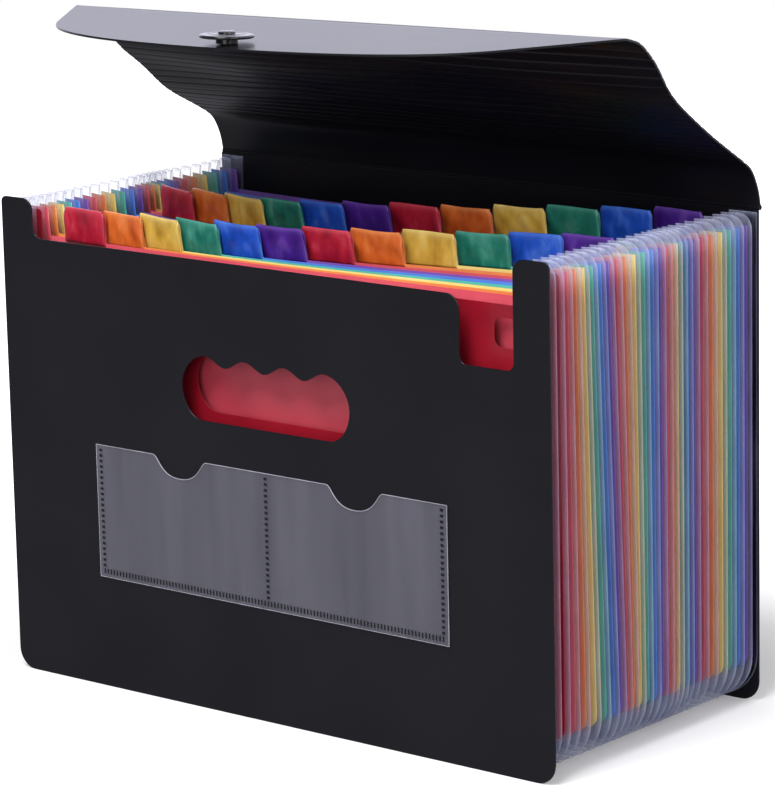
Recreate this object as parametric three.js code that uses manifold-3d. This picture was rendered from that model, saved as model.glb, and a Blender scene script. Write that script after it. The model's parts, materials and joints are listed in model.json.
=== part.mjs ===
// An expanding file organizer: two black polypropylene panels joined by a clear pleated
// gusset that runs down one side, under the bottom and up the other side. Coloured film
// dividers with index tabs stand in the pleats, and a ribbed cover with a rounded closing
// lip is hinged to the top of the back panel. Millimetres, +Z up, front towards -Y.
import * as THREE from 'three';
import { mergeVertices } from 'three/addons/utils/BufferGeometryUtils.js';
import Module from 'manifold-3d';

const wasm = await Module();
wasm.setup();

// Driving dimensions of the folder
const folderWidth = 330;
const folderHeight = 235;
const folderDepth = 160;
const fitGap = 0.3;

// Black panels
const panelThickness = 1.0;
const panelCornerRadius = 10;
const earWidth = 20;
const earHeight = 19;
const earRadius = 6;
const earOuterRadius = 3;

// Index window cut in the front panel beside the right ear
const windowWidth = 30;
const windowDepth = 31;
const windowShoulderRadius = 7;
const windowCornerRadius = 4;

// Hand grip cut through the front panel
const gripHalfWidth = 51;
const gripBaseHalfWidth = 38;
const gripBottom = 140;
const gripHeight = 30.8;
const gripCuspDrop = 4.5;
const fingerPitch = 24;
const fingerCount = 4;

// Clear double card pocket welded on the front
const cardPocketWidth = 214;
const cardPocketHeight = 65;
const cardPocketBottom = 55;
const cardFilm = 0.3;
const cardWeldWidth = 3;
const cardWeldDepth = 0.3;
const thumbHalfWidth = 13;
const thumbDepth = 10;
const thumbShoulder = 4;

// Pleated gusset
const gussetFilm = 0.3;
const pleatCount = 26;
const pleatDepth = 15;
const pleatCrest = 1.0;
const gussetFlange = 1.0;
const gussetOuterRadius = 22;
const gussetBaseClearance = 1.5;
const gussetTopDrop = 1;
const cornerSteps = 4;

// Dividers and their tabs
const dividerCount = 24;
const dividerFilm = 0.3;
const dividerTopDrop = 20.5;
const dividerTopStep = 0.15;
const dividerSideInset = 3;
const dividerShoulderDrop = 7;
const dividerBottomRise = 17.5;
const dividerCornerRadius = 6;
const shoulderRadius = 2;
const tabsPerRow = 12;
const tabPitch = 22.6;
const tabWidth = 28;
const tabHeight = 15;
const tabBelow = 1.5;
const tabFilm = 0.35;

// Sheet behind the front panel, cut out behind the grip and the index window
const linerTopDrop = 23.5;
const linerGripRise = 1.7;
const linerWindowInset = 9;

// Ribbed cover
const coverThickness = 1.0;
const coverRun = 103;
const coverRise = 86.6;
const coverRibs = 20;
const ribGroove = 0.3;
const ribGrooveHalfWidth = 0.6;

// Closing lip and its button
const lipLength = 87;
const lipShoulder = 47;
const lipShoulderInset = 32;
const lipFullness = 0.72;
const lipDroop = 1.7;
const buttonFromEdge = 11;
const buttonRadius = 12.5;
const buttonCapThickness = 2;
const buttonNeckRadius = 5;
const buttonNeckHeight = 2.6;
const bossRadius = 4;
const bossHeight = 1.2;
const rivetRadius = 2.5;
const rivetHeadRadius = 7;
const rivetHeadThickness = 1;
const rivetClearance = 0.35;

// Values worked out from the dimensions above
const halfWidth = folderWidth / 2;
const frontFace = -folderDepth / 2;
const backFace = folderDepth / 2;
const frontInner = frontFace + panelThickness;
const backInner = backFace - panelThickness;
const recessTop = folderHeight - earHeight;
const gussetFront = frontInner + fitGap + gussetFilm / 2;
const gussetBack = backInner - fitGap - gussetFilm / 2;
const pleatStart = gussetFront + gussetFlange;
const pleatPitch = (gussetBack - gussetFlange - pleatStart) / pleatCount;
const crestX = halfWidth - gussetFilm;
const valleyX = crestX - pleatDepth;
const pleatCrestY = (index) => pleatStart + (index + 0.5) * pleatPitch;
const dividerHalfWidth = halfWidth - dividerSideInset;
const dividerShoulderTop = folderHeight - dividerShoulderDrop;
const dividerTop = folderHeight - dividerTopDrop;
const linerTop = folderHeight - linerTopDrop;

const black = { color: 0x212126, roughness: 0.45, metalness: 0 };
const clear = { color: 0xc9c9d2, roughness: 0.3, metalness: 0, transparent: true, opacity: 0.5 };
const rainbow = {
  red: 0xc01f38,
  orange: 0xe2752c,
  yellow: 0xe0bd57,
  green: 0x2a8776,
  blue: 0x1f52cc,
  purple: 0x552896,
};
const colourNames = Object.keys(rainbow);

const organizer = new THREE.Group();

function addPiece(parent, name, geometry, look) {
  const mesh = new THREE.Mesh(geometry, new THREE.MeshStandardMaterial(look));
  mesh.name = name;
  parent.add(mesh);
  return mesh;
}

// Closed outline whose corners [x, y, radius] are rounded by arcs
function roundedPath(corners, path = new THREE.Shape()) {
  const count = corners.length;
  corners.forEach(([x, y, radius], index) => {
    const [px, py] = corners[(index + count - 1) % count];
    const [nx, ny] = corners[(index + 1) % count];
    const corner = new THREE.Vector2(x, y);
    const before = new THREE.Vector2(px, py).sub(corner).normalize();
    const after = new THREE.Vector2(nx, ny).sub(corner).normalize();
    if (!radius) {
      if (index === 0) path.moveTo(x, y);
      else path.lineTo(x, y);
      return;
    }
    const halfAngle = Math.acos(THREE.MathUtils.clamp(before.dot(after), -1, 1)) / 2;
    const reach = radius / Math.tan(halfAngle);
    const start = corner.clone().addScaledVector(before, reach);
    const end = corner.clone().addScaledVector(after, reach);
    const middle = before.clone().add(after).normalize();
    const centre = corner.clone().addScaledVector(middle, radius / Math.sin(halfAngle));
    const startAngle = Math.atan2(start.y - centre.y, start.x - centre.x);
    const endAngle = Math.atan2(end.y - centre.y, end.x - centre.x);
    const clockwise = before.x * after.y - before.y * after.x > 0;
    if (index === 0) path.moveTo(start.x, start.y);
    else path.lineTo(start.x, start.y);
    path.absarc(centre.x, centre.y, radius, startAngle, endAngle, clockwise);
  });
  path.closePath();
  return path;
}

// Sheet cut to an outline in X and Z, with its front face at y and its thickness backwards
function sheet(outline, y, thickness, curveSegments = 4) {
  const geometry = new THREE.ExtrudeGeometry(outline, {
    depth: thickness,
    bevelEnabled: false,
    curveSegments,
  });
  geometry.rotateX(Math.PI / 2);
  geometry.translate(0, y + thickness, 0);
  return geometry;
}

// Section in Y and Z run along X from one end to the other
function alongX(outline, from, length) {
  const geometry = new THREE.ExtrudeGeometry(outline, { depth: length, bevelEnabled: false });
  const axes = new THREE.Matrix4().makeBasis(
    new THREE.Vector3(0, 1, 0),
    new THREE.Vector3(0, 0, 1),
    new THREE.Vector3(1, 0, 0),
  );
  geometry.applyMatrix4(axes);
  geometry.translate(from, 0, 0);
  return geometry;
}

function toSolid(geometry) {
  const bare = geometry.clone();
  bare.deleteAttribute('normal');
  bare.deleteAttribute('uv');
  const merged = mergeVertices(bare, 1e-5);
  return new wasm.Manifold(
    new wasm.Mesh({
      numProp: 3,
      vertProperties: new Float32Array(merged.attributes.position.array),
      triVerts: new Uint32Array(merged.index.array),
    }),
  );
}

function fromSolid(solid) {
  const { vertProperties, triVerts } = solid.getMesh();
  const geometry = new THREE.BufferGeometry();
  geometry.setAttribute('position', new THREE.BufferAttribute(vertProperties, 3));
  geometry.setIndex(new THREE.BufferAttribute(triVerts, 1));
  geometry.computeVertexNormals();
  return geometry;
}

// Hand grip: flat below, round ends, and a finger scallop for each finger along the top
function gripPath(rise) {
  const path = new THREE.Path();
  const bottom = gripBottom + rise;
  const crest = bottom + gripHeight;
  const cusp = crest - gripCuspDrop;
  const middle = bottom + gripHeight / 2;
  const lastCrest = ((fingerCount - 1) / 2) * fingerPitch;
  const lastCusp = lastCrest - fingerPitch / 2;
  const bulge = gripHeight / 4;
  path.moveTo(-gripBaseHalfWidth, bottom);
  path.lineTo(gripBaseHalfWidth, bottom);
  path.bezierCurveTo(
    gripBaseHalfWidth + bulge, bottom,
    gripHalfWidth, middle - bulge,
    gripHalfWidth, middle,
  );
  path.bezierCurveTo(
    gripHalfWidth, middle + bulge,
    lastCrest + bulge, crest,
    lastCrest, crest,
  );
  const easeX = fingerPitch / 6;
  for (let cuspX = lastCusp; cuspX >= -lastCusp; cuspX -= fingerPitch) {
    const fromX = cuspX + fingerPitch / 2;
    const toX = cuspX - fingerPitch / 2;
    path.bezierCurveTo(fromX - easeX, crest, cuspX + easeX, cusp + gripCuspDrop / 2, cuspX, cusp);
    path.bezierCurveTo(cuspX - easeX, cusp + gripCuspDrop / 2, toX + easeX, crest, toX, crest);
  }
  path.bezierCurveTo(
    -lastCrest - bulge, crest,
    -gripHalfWidth, middle + bulge,
    -gripHalfWidth, middle,
  );
  path.bezierCurveTo(
    -gripHalfWidth, middle - bulge,
    -gripBaseHalfWidth - bulge, bottom,
    -gripBaseHalfWidth, bottom,
  );
  return path;
}

// Front panel with its two ears, the lowered edge between them, the window and the grip
function frontPanel() {
  const earInner = halfWidth - earWidth;
  const windowLeft = earInner - windowWidth;
  const windowBottom = recessTop - windowDepth;
  const outline = roundedPath([
    [-halfWidth, 0, panelCornerRadius],
    [halfWidth, 0, panelCornerRadius],
    [halfWidth, folderHeight, earOuterRadius],
    [earInner, folderHeight, earRadius],
    [earInner, windowBottom, windowCornerRadius],
    [windowLeft, windowBottom, windowCornerRadius],
    [windowLeft, recessTop, windowShoulderRadius],
    [-earInner, recessTop, earRadius],
    [-earInner, folderHeight, earRadius],
    [-halfWidth, folderHeight, earOuterRadius],
  ]);
  outline.holes.push(gripPath(0));
  return sheet(outline, frontFace, panelThickness);
}

function backPanel() {
  const outline = roundedPath([
    [-halfWidth, 0, panelCornerRadius],
    [halfWidth, 0, panelCornerRadius],
    [halfWidth, folderHeight, 0],
    [-halfWidth, folderHeight, 0],
  ]);
  return sheet(outline, backInner, panelThickness);
}

// Card pocket: a film over two bays, open along the top, with a thumb notch over each bay
// and raised welds down both sides, along the bottom and down the middle
function cardPocket() {
  const half = cardPocketWidth / 2;
  const top = cardPocketBottom + cardPocketHeight;
  const notchCentre = half / 2;
  const notchOuter = thumbHalfWidth + thumbShoulder;
  const outline = new THREE.Shape();
  outline.moveTo(-half, cardPocketBottom);
  outline.lineTo(half, cardPocketBottom);
  outline.lineTo(half, top);
  [notchCentre, -notchCentre].forEach((x) => {
    outline.lineTo(x + notchOuter, top);
    outline.bezierCurveTo(
      x + thumbHalfWidth, top,
      x + thumbHalfWidth, top - thumbDepth,
      x, top - thumbDepth,
    );
    outline.bezierCurveTo(
      x - thumbHalfWidth, top - thumbDepth,
      x - thumbHalfWidth, top,
      x - notchOuter, top,
    );
  });
  outline.lineTo(-half, top);
  outline.closePath();
  const weldBack = frontFace - fitGap;
  const filmFront = weldBack - cardWeldDepth - cardFilm;
  const weldAt = (width, height, x, z) => {
    const depth = cardWeldDepth + cardFilm;
    const box = new THREE.BoxGeometry(width, depth, height);
    box.translate(x, weldBack - depth / 2, z);
    return toSolid(box);
  };
  const sideHeight = cardPocketHeight;
  const sideZ = cardPocketBottom + sideHeight / 2;
  const sideX = half - cardWeldWidth / 2;
  const solid = toSolid(sheet(outline, filmFront, cardFilm, 6))
    .add(weldAt(cardWeldWidth, sideHeight, -sideX, sideZ))
    .add(weldAt(cardWeldWidth, sideHeight, sideX, sideZ))
    .add(weldAt(cardWeldWidth, sideHeight, 0, sideZ))
    .add(weldAt(cardPocketWidth, cardWeldWidth, 0, cardPocketBottom + cardWeldWidth / 2));
  return fromSolid(solid);
}

// Middle line of the pleated film in section: [distance out from the centre, y]
function pleatLine() {
  const line = [
    [crestX, gussetFront],
    [valleyX, gussetFront],
  ];
  for (let index = 0; index < pleatCount; index += 1) {
    const y = pleatCrestY(index);
    line.push([valleyX, y - pleatPitch / 2]);
    line.push([crestX, y - pleatCrest / 2]);
    line.push([crestX, y + pleatCrest / 2]);
  }
  line.push([valleyX, gussetBack - gussetFlange]);
  line.push([valleyX, gussetBack]);
  line.push([crestX, gussetBack]);
  return line.map(([x, y]) => new THREE.Vector2(x, y));
}

// Line given a thickness: one side out and the other side back, mitred at the folds
function thicken(line, thickness) {
  const shift = line.map((point, index) => {
    const before = line[Math.max(index - 1, 0)];
    const after = line[Math.min(index + 1, line.length - 1)];
    const entry = point.clone().sub(index ? before : point);
    const exit = after.clone().sub(index < line.length - 1 ? point : after);
    const first = (entry.length() ? entry : exit).clone().normalize();
    const second = (exit.length() ? exit : entry).clone().normalize();
    const normal = new THREE.Vector2(-first.y - second.y, first.x + second.x).normalize();
    const cosine = normal.dot(new THREE.Vector2(-first.y, first.x));
    return normal.multiplyScalar(thickness / 2 / cosine);
  });
  const near = line.map((point, index) => point.clone().add(shift[index]));
  const far = line.map((point, index) => point.clone().sub(shift[index]));
  return near.concat(far.reverse());
}

// Gusset: the pleated section carried down the left side, round the two bottom corners
// and up the right side as one folded film
function gusset() {
  const section = thicken(pleatLine(), gussetFilm);
  if (THREE.ShapeUtils.isClockWise(section)) section.reverse();
  const top = folderHeight - gussetTopDrop;
  const cornerX = halfWidth - gussetOuterRadius;
  const cornerZ = gussetBaseClearance + gussetOuterRadius;
  const stations = [{ x: -cornerX, z: top, angle: Math.PI }];
  for (let step = 0; step <= cornerSteps; step += 1) {
    const angle = Math.PI + ((Math.PI / 2) * step) / cornerSteps;
    stations.push({ x: -cornerX, z: cornerZ, angle });
  }
  for (let step = 0; step <= cornerSteps; step += 1) {
    const angle = 1.5 * Math.PI + ((Math.PI / 2) * step) / cornerSteps;
    stations.push({ x: cornerX, z: cornerZ, angle });
  }
  stations.push({ x: cornerX, z: top, angle: 2 * Math.PI });
  const positions = [];
  stations.forEach(({ x, z, angle }) => {
    section.forEach((point) => {
      const out = point.x - cornerX;
      positions.push(x + out * Math.cos(angle), point.y, z + out * Math.sin(angle));
    });
  });
  const count = section.length;
  const indices = [];
  for (let station = 0; station < stations.length - 1; station += 1) {
    for (let index = 0; index < count; index += 1) {
      const next = (index + 1) % count;
      const a = station * count + index;
      const b = station * count + next;
      indices.push(a, a + count, b, b, a + count, b + count);
    }
  }
  const caps = THREE.ShapeUtils.triangulateShape(section, []);
  const last = (stations.length - 1) * count;
  caps.forEach(([a, b, c]) => {
    indices.push(a, b, c);
    indices.push(last + a, last + c, last + b);
  });
  const geometry = new THREE.BufferGeometry();
  geometry.setAttribute('position', new THREE.Float32BufferAttribute(positions, 3));
  geometry.setIndex(indices);
  return outwards(geometry);
}

// Turns a closed mesh's faces outwards if its signed volume is negative
function outwards(geometry) {
  const { array } = geometry.attributes.position;
  const index = geometry.index.array;
  const corner = (item) => new THREE.Vector3().fromArray(array, index[item] * 3);
  let volume = 0;
  for (let item = 0; item < index.length; item += 3) {
    volume += corner(item).dot(corner(item + 1).cross(corner(item + 2)));
  }
  if (volume < 0) {
    for (let item = 0; item < index.length; item += 3) {
      [index[item], index[item + 1]] = [index[item + 1], index[item]];
    }
  }
  geometry.computeVertexNormals();
  return geometry;
}

// Outline shared by every sheet that stands in the pleats, with the shapes along its top
function pleatSheetOutline(top, topCorners) {
  const shoulderX = valleyX - gussetFilm;
  return roundedPath([
    [-dividerHalfWidth, dividerBottomRise, dividerCornerRadius],
    [dividerHalfWidth, dividerBottomRise, dividerCornerRadius],
    [dividerHalfWidth, dividerShoulderTop, shoulderRadius],
    [shoulderX, dividerShoulderTop, shoulderRadius],
    [shoulderX, top, shoulderRadius],
    ...topCorners,
    [-shoulderX, top, shoulderRadius],
    [-shoulderX, dividerShoulderTop, shoulderRadius],
    [-dividerHalfWidth, dividerShoulderTop, shoulderRadius],
  ]);
}

function tabPlace(index) {
  const centre = ((index % tabsPerRow) - (tabsPerRow - 1) / 2) * tabPitch;
  const base = dividerTop + index * dividerTopStep;
  return {
    left: centre - tabWidth / 2,
    right: centre + tabWidth / 2,
    base,
    top: base + tabHeight,
  };
}

function divider(index) {
  const { left, right, base, top } = tabPlace(index);
  const margin = tabFilm + fitGap;
  const tongueTop = top - margin;
  const outline = pleatSheetOutline(base, [
    [right - margin, base, 0],
    [right - margin, tongueTop, 0],
    [left + margin, tongueTop, 0],
    [left + margin, base, 0],
  ]);
  const y = pleatCrestY(index + 2) - dividerFilm / 2;
  return sheet(outline, y, dividerFilm, 2);
}

// Tab sleeve: one coloured film folded over the divider's tongue
function tabSleeve(index) {
  const { left, right, base, top } = tabPlace(index);
  const y = pleatCrestY(index + 2);
  const inner = dividerFilm / 2 + fitGap;
  const outer = inner + tabFilm;
  const bottom = base - tabBelow;
  const outline = new THREE.Shape();
  outline.moveTo(y - outer, bottom);
  outline.lineTo(y - inner, bottom);
  outline.lineTo(y - inner, top - tabFilm);
  outline.lineTo(y + inner, top - tabFilm);
  outline.lineTo(y + inner, bottom);
  outline.lineTo(y + outer, bottom);
  outline.lineTo(y + outer, top);
  outline.lineTo(y - outer, top);
  outline.closePath();
  return alongX(outline, left, right - left);
}

// First sheet of the stack, which backs the grip and the window with openings of its own
function frontLiner() {
  const windowRight = halfWidth - earWidth;
  const windowLeft = windowRight - windowWidth + linerWindowInset;
  const windowBottom = recessTop - windowDepth;
  const outline = pleatSheetOutline(linerTop, [
    [windowRight, linerTop, shoulderRadius],
    [windowRight, windowBottom, windowCornerRadius],
    [windowLeft, windowBottom, windowCornerRadius],
    [windowLeft, linerTop, shoulderRadius],
  ]);
  outline.holes.push(gripPath(linerGripRise));
  return sheet(outline, pleatCrestY(1) - dividerFilm / 2, dividerFilm, 3);
}

// Cover hinge: its axis lies outside the back panel's top corner, so the cover can fold
// forwards over the top and back behind the panel
const hingeReach = coverThickness / 2 + fitGap;
const hingeY = backFace + hingeReach;
const hingeZ = folderHeight + hingeReach;

// Middle line of the cover, from the hinge: a plain band that turns forwards in two folds,
// then a shallow wave of ribs. Both are drawn by shares of the cover's run and rise
function coverLine() {
  const at = ([run, rise]) => new THREE.Vector2(-run * coverRun, rise * coverRise);
  const band = [
    [0, 0],
    [0.02, 0.1],
    [0.065, 0.2],
  ].map(at);
  const wave = [
    [0.13, 0.26],
    [0.37, 0.42],
    [0.54, 0.565],
    [0.7, 0.71],
    [0.81, 0.87],
    [0.9, 0.965],
    [1, 1],
  ].map(at);
  const ribs = new THREE.SplineCurve(wave).getSpacedPoints(coverRibs);
  return [...band, ...ribs];
}

// Ribbed section: each rib is a flat slat, and a groove on both faces parts it from the next
function ribbedSection(line) {
  const half = coverThickness / 2;
  const side = (sign) => {
    const points = [];
    line.forEach((point, index) => {
      const entry = index ? point.clone().sub(line[index - 1]).normalize() : null;
      const exit = index < line.length - 1 ? line[index + 1].clone().sub(point).normalize() : null;
      const normal = (way) => new THREE.Vector2(-way.y, way.x).multiplyScalar(sign);
      if (!entry || !exit) {
        points.push(point.clone().addScaledVector(normal(entry || exit), half));
        return;
      }
      const middle = normal(entry).add(normal(exit)).normalize();
      points.push(
        point.clone().addScaledVector(entry, -ribGrooveHalfWidth).addScaledVector(normal(entry), half),
        point.clone().addScaledVector(middle, half - ribGroove),
        point.clone().addScaledVector(exit, ribGrooveHalfWidth).addScaledVector(normal(exit), half),
      );
    });
    return points;
  };
  return side(1).concat(side(-1).reverse());
}

const coverPoints = coverLine();
const coverEnd = coverPoints[coverPoints.length - 1];

function coverPanel() {
  const outline = new THREE.Shape(ribbedSection(coverPoints));
  return alongX(outline, -halfWidth, folderWidth);
}

// Lip: a flat tongue with straight shoulders and a round front, drawn from its crease
function coverLip() {
  const start = fitGap + coverThickness / 2;
  const shoulderX = halfWidth - lipShoulderInset;
  const slope = lipShoulderInset / lipShoulder;
  const bulge = (lipLength - lipShoulder) * lipFullness;
  const outline = new THREE.Shape();
  outline.moveTo(-halfWidth, -start);
  outline.lineTo(-shoulderX, -lipShoulder);
  outline.bezierCurveTo(
    -shoulderX + bulge * slope, -lipShoulder - bulge,
    -shoulderX / 2, -lipLength,
    0, -lipLength,
  );
  outline.bezierCurveTo(
    shoulderX / 2, -lipLength,
    shoulderX - bulge * slope, -lipShoulder - bulge,
    shoulderX, -lipShoulder,
  );
  outline.lineTo(halfWidth, -start);
  outline.closePath();
  const hole = new THREE.Path();
  hole.absarc(0, buttonFromEdge - lipLength, rivetRadius + rivetClearance, 0, 2 * Math.PI);
  outline.holes.push(hole);
  const geometry = new THREE.ExtrudeGeometry(outline, {
    depth: coverThickness,
    bevelEnabled: false,
    curveSegments: 12,
  });
  geometry.translate(0, 0, -coverThickness / 2);
  return geometry;
}

// Turned piece on the lip, whose profile [radius, height] is measured from the lip's middle
function turned(profile) {
  const geometry = new THREE.LatheGeometry(
    profile.map(([radius, height]) => new THREE.Vector2(radius, height)),
    24,
  );
  geometry.rotateX(Math.PI / 2);
  geometry.translate(0, buttonFromEdge - lipLength, 0);
  return geometry;
}

// Button: a round cap on a neck, with a low boss on top and a blind bore for its rivet
function closureButton() {
  const seat = coverThickness / 2 + fitGap;
  const capBottom = seat + buttonNeckHeight;
  const capTop = capBottom + buttonCapThickness;
  const bore = rivetRadius + rivetClearance;
  const edge = buttonCapThickness / 3;
  return turned([
    [0, capBottom],
    [bore, capBottom],
    [bore, seat],
    [buttonNeckRadius, seat],
    [buttonNeckRadius, capBottom],
    [buttonRadius - edge, capBottom],
    [buttonRadius, capBottom + edge],
    [buttonRadius, capTop - edge],
    [buttonRadius - edge, capTop],
    [bossRadius, capTop],
    [bossRadius, capTop + bossHeight],
    [0, capTop + bossHeight],
  ]);
}

// Rivet: a flat head under the lip and a stem that runs up into the button's bore
function buttonRivet() {
  const seat = -coverThickness / 2 - fitGap;
  const stemTop = coverThickness / 2 + buttonNeckHeight;
  return turned([
    [0, seat - rivetHeadThickness],
    [rivetHeadRadius, seat - rivetHeadThickness],
    [rivetHeadRadius, seat],
    [rivetRadius, seat],
    [rivetRadius, stemTop],
    [0, stemTop],
  ]);
}

addPiece(organizer, 'front_panel', frontPanel(), black);
addPiece(organizer, 'back_panel', backPanel(), black);
addPiece(organizer, 'card_pocket', cardPocket(), clear);
addPiece(organizer, 'pleated_gusset', gusset(), clear);
addPiece(organizer, 'front_liner', frontLiner(), { color: rainbow.red, roughness: 0.35 });

for (let index = 0; index < dividerCount; index += 1) {
  const number = String(index + 1).padStart(2, '0');
  const color = rainbow[colourNames[index % colourNames.length]];
  addPiece(organizer, `divider_${number}`, divider(index), { color, roughness: 0.35 });
  addPiece(organizer, `tab_sleeve_${number}`, tabSleeve(index), { color, roughness: 0.25 });
}

const cover = new THREE.Group();
cover.position.set(0, hingeY, hingeZ);
organizer.add(cover);
addPiece(cover, 'cover_ribbed', coverPanel(), black);

const lip = new THREE.Group();
lip.position.set(0, coverEnd.x, coverEnd.y);
lip.rotation.x = THREE.MathUtils.degToRad(lipDroop);
cover.add(lip);
addPiece(lip, 'cover_lip', coverLip(), black);
addPiece(lip, 'closure_button', closureButton(), { ...black, roughness: 0.3 });
addPiece(lip, 'button_rivet', buttonRivet(), { ...black, roughness: 0.3 });

// The origin is on the table under the middle of the whole object, lip and cover included
const box = new THREE.Box3().setFromObject(organizer, true);
organizer.position.y = -(box.min.y + box.max.y) / 2;

export default organizer;
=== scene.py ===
"""Looks of an expanding file organizer: black ribbed cover and panels, a clear pleated gusset,
rainbow dividers with film tab sleeves, and a frosted card pocket. Metres, front towards -Y."""
import json
import math

import bmesh
import bpy
import numpy as np
from mathutils import Matrix, Vector


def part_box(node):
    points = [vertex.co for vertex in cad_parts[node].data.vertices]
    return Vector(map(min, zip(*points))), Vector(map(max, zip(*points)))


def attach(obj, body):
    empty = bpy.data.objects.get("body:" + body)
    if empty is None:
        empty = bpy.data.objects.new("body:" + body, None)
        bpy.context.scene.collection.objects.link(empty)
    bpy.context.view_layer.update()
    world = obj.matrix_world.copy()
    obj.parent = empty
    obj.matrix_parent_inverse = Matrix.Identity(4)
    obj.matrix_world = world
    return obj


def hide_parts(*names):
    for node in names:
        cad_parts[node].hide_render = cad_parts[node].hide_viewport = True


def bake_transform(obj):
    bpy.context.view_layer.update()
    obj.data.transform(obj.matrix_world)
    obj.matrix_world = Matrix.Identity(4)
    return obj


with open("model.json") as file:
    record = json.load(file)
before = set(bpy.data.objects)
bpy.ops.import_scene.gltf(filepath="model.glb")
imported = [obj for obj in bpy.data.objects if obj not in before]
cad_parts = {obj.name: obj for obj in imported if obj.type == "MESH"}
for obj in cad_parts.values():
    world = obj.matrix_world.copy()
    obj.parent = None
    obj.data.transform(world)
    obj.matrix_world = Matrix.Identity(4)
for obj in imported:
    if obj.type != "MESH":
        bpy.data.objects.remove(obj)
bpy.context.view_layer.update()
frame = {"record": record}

MM = 0.001
TAU = 2 * math.pi

# Camera: angles in degrees, places in metres, and lens and sensor in millimetres. The sensor
# covers the photograph's long side, which is 800 pixels.
VIEW_AZIMUTH = 39.7
VIEW_ELEVATION = 12.41
VIEW_ROLL = -1.25
VIEW_DISTANCE = 1.865
VIEW_LENS = 177.2
VIEW_SENSOR = 36
VIEW_TARGET = (0.0072, 0.0148, 0.1408)

# Sizes that the pieces share, read from the frame
PANEL_LOW, PANEL_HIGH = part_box("front_panel")
BACK_LOW, BACK_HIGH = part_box("back_panel")
POCKET_LOW, POCKET_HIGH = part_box("card_pocket")
GUSSET_LOW, GUSSET_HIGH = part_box("pleated_gusset")
HALF_WIDTH = PANEL_HIGH.x
HEIGHT = PANEL_HIGH.z
FRONT_Y = PANEL_LOW.y
PANEL_THICKNESS = PANEL_HIGH.y - PANEL_LOW.y
HINGES = {joint["name"]: Vector(joint["pos_m"]) for joint in frame["record"]["behaviour"]["joints"]}
COVER_HINGE = HINGES["cover_hinge"]
LIP_HINGE = HINGES["lip_hinge"]

# Sizes of the front panel's cuts, as in the part's source
EAR_WIDTH = 20 * MM
EAR_HEIGHT = 19 * MM
EAR_RADIUS = 6 * MM
WINDOW_WIDTH = 30 * MM
WINDOW_DEPTH = 31 * MM
PANEL_CORNER = 10 * MM
GRIP_HALF = 51 * MM
GRIP_BASE_HALF = 38 * MM
GRIP_BOTTOM = 140 * MM
GRIP_HEIGHT = 30.8 * MM
GRIP_CUSP_DROP = 4.5 * MM
FINGER_PITCH = 24 * MM
FINGERS = 4

# Gusset and dividers
PLEATS = 26
PLEAT_DEPTH = 15 * MM
GUSSET_RADIUS = 22 * MM
FLANGE = 1.0 * MM
FILM = 0.3 * MM
CREST_X = GUSSET_HIGH.x - FILM / 2
VALLEY_X = CREST_X - PLEAT_DEPTH
PLEAT_START = GUSSET_LOW.y + FILM / 2 + FLANGE
PLEAT_PITCH = (GUSSET_HIGH.y - GUSSET_LOW.y - FILM - 2 * FLANGE) / PLEATS
DIVIDERS = 24
TAB_HEIGHT = 15 * MM
TONGUE_MARGIN = 0.7 * MM
SHOULDER_TOP = HEIGHT - 7 * MM
LINER_TOP = HEIGHT - 23.5 * MM
LINER_WINDOW_INSET = 11 * MM
LINER_WINDOW_RISE = 7 * MM
LINER_WINDOW_DROP = 6 * MM
LINER_WINDOW_REACH = 3 * MM
LINER_WINDOW_CORNER = 4 * MM
LINER_GRIP_RISE = 1.7 * MM
LINER_CORNER = 2 * MM
LINER_EDGE = 0.05 * MM
SHEET_CORNER = 6 * MM
# Place of the first divider, counted in pleats
FIRST_DIVIDER = 2.5
# A sheet's upper edge steps up or down over twice STEP, and has a plain column at STEP_REACH to
# each side, both in millimetres
STEP = 0.35
STEP_REACH = 1.2

RAINBOW = ("red", "orange", "yellow", "green", "blue", "purple")

# Nearly all values of a noise texture lie between these two
NOISE_LOW, NOISE_HIGH = 0.3, 0.7
POLYPROPYLENE_IOR = 1.49
# What a crease adds to the film's opacity, and how much of the colour of the sheet behind it is
# painted onto the film as painted light, for the light that the sheet sends through the film
CREASE_MILK = 0.3
SHEET_LIGHT_SHARE = 0.5


def linear(code):
    """sRGB hex code to linear red, green, blue and an alpha of 1."""
    parts = [int(code[i : i + 2], 16) / 255 for i in (1, 3, 5)]
    return [c / 12.92 if c <= 0.04045 else ((c + 0.055) / 1.055) ** 2.4 for c in parts] + [1.0]


def add_node(tree, kind, settings=(), inputs=()):
    """Adds one shader node; settings are its properties, and an input that is a socket is linked."""
    made = tree.nodes.new(kind)
    for name, value in dict(settings).items():
        setattr(made, name, value)
    for name, value in dict(inputs).items():
        if isinstance(value, bpy.types.NodeSocket):
            tree.links.new(value, made.inputs[name])
        else:
            made.inputs[name].default_value = value
    return made


def set_ramp(ramp, stops):
    """Gives a colour ramp its stops, each a position and a linear colour."""
    elements = ramp.color_ramp.elements
    while len(elements) > len(stops):
        elements.remove(elements[-1])
    while len(elements) < len(stops):
        elements.new(0.5)
    for element, (place, colour) in zip(elements, stops):
        element.position = place
        element.color = colour
    return ramp.outputs["Color"]


def two_tones(ramp, low, high):
    """Spreads two sRGB colours over the range that a noise texture fills."""
    return set_ramp(ramp, ((NOISE_LOW, linear(low)), (NOISE_HIGH, linear(high))))


def start_material(name):
    """A node material, its tree, its Principled shader and its object coordinates."""
    material = bpy.data.materials.new(name)
    material.use_nodes = True
    tree = material.node_tree
    shader = tree.nodes["Principled BSDF"]
    place = add_node(tree, "ShaderNodeTexCoord").outputs["Object"]
    return material, tree, shader, place


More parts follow.
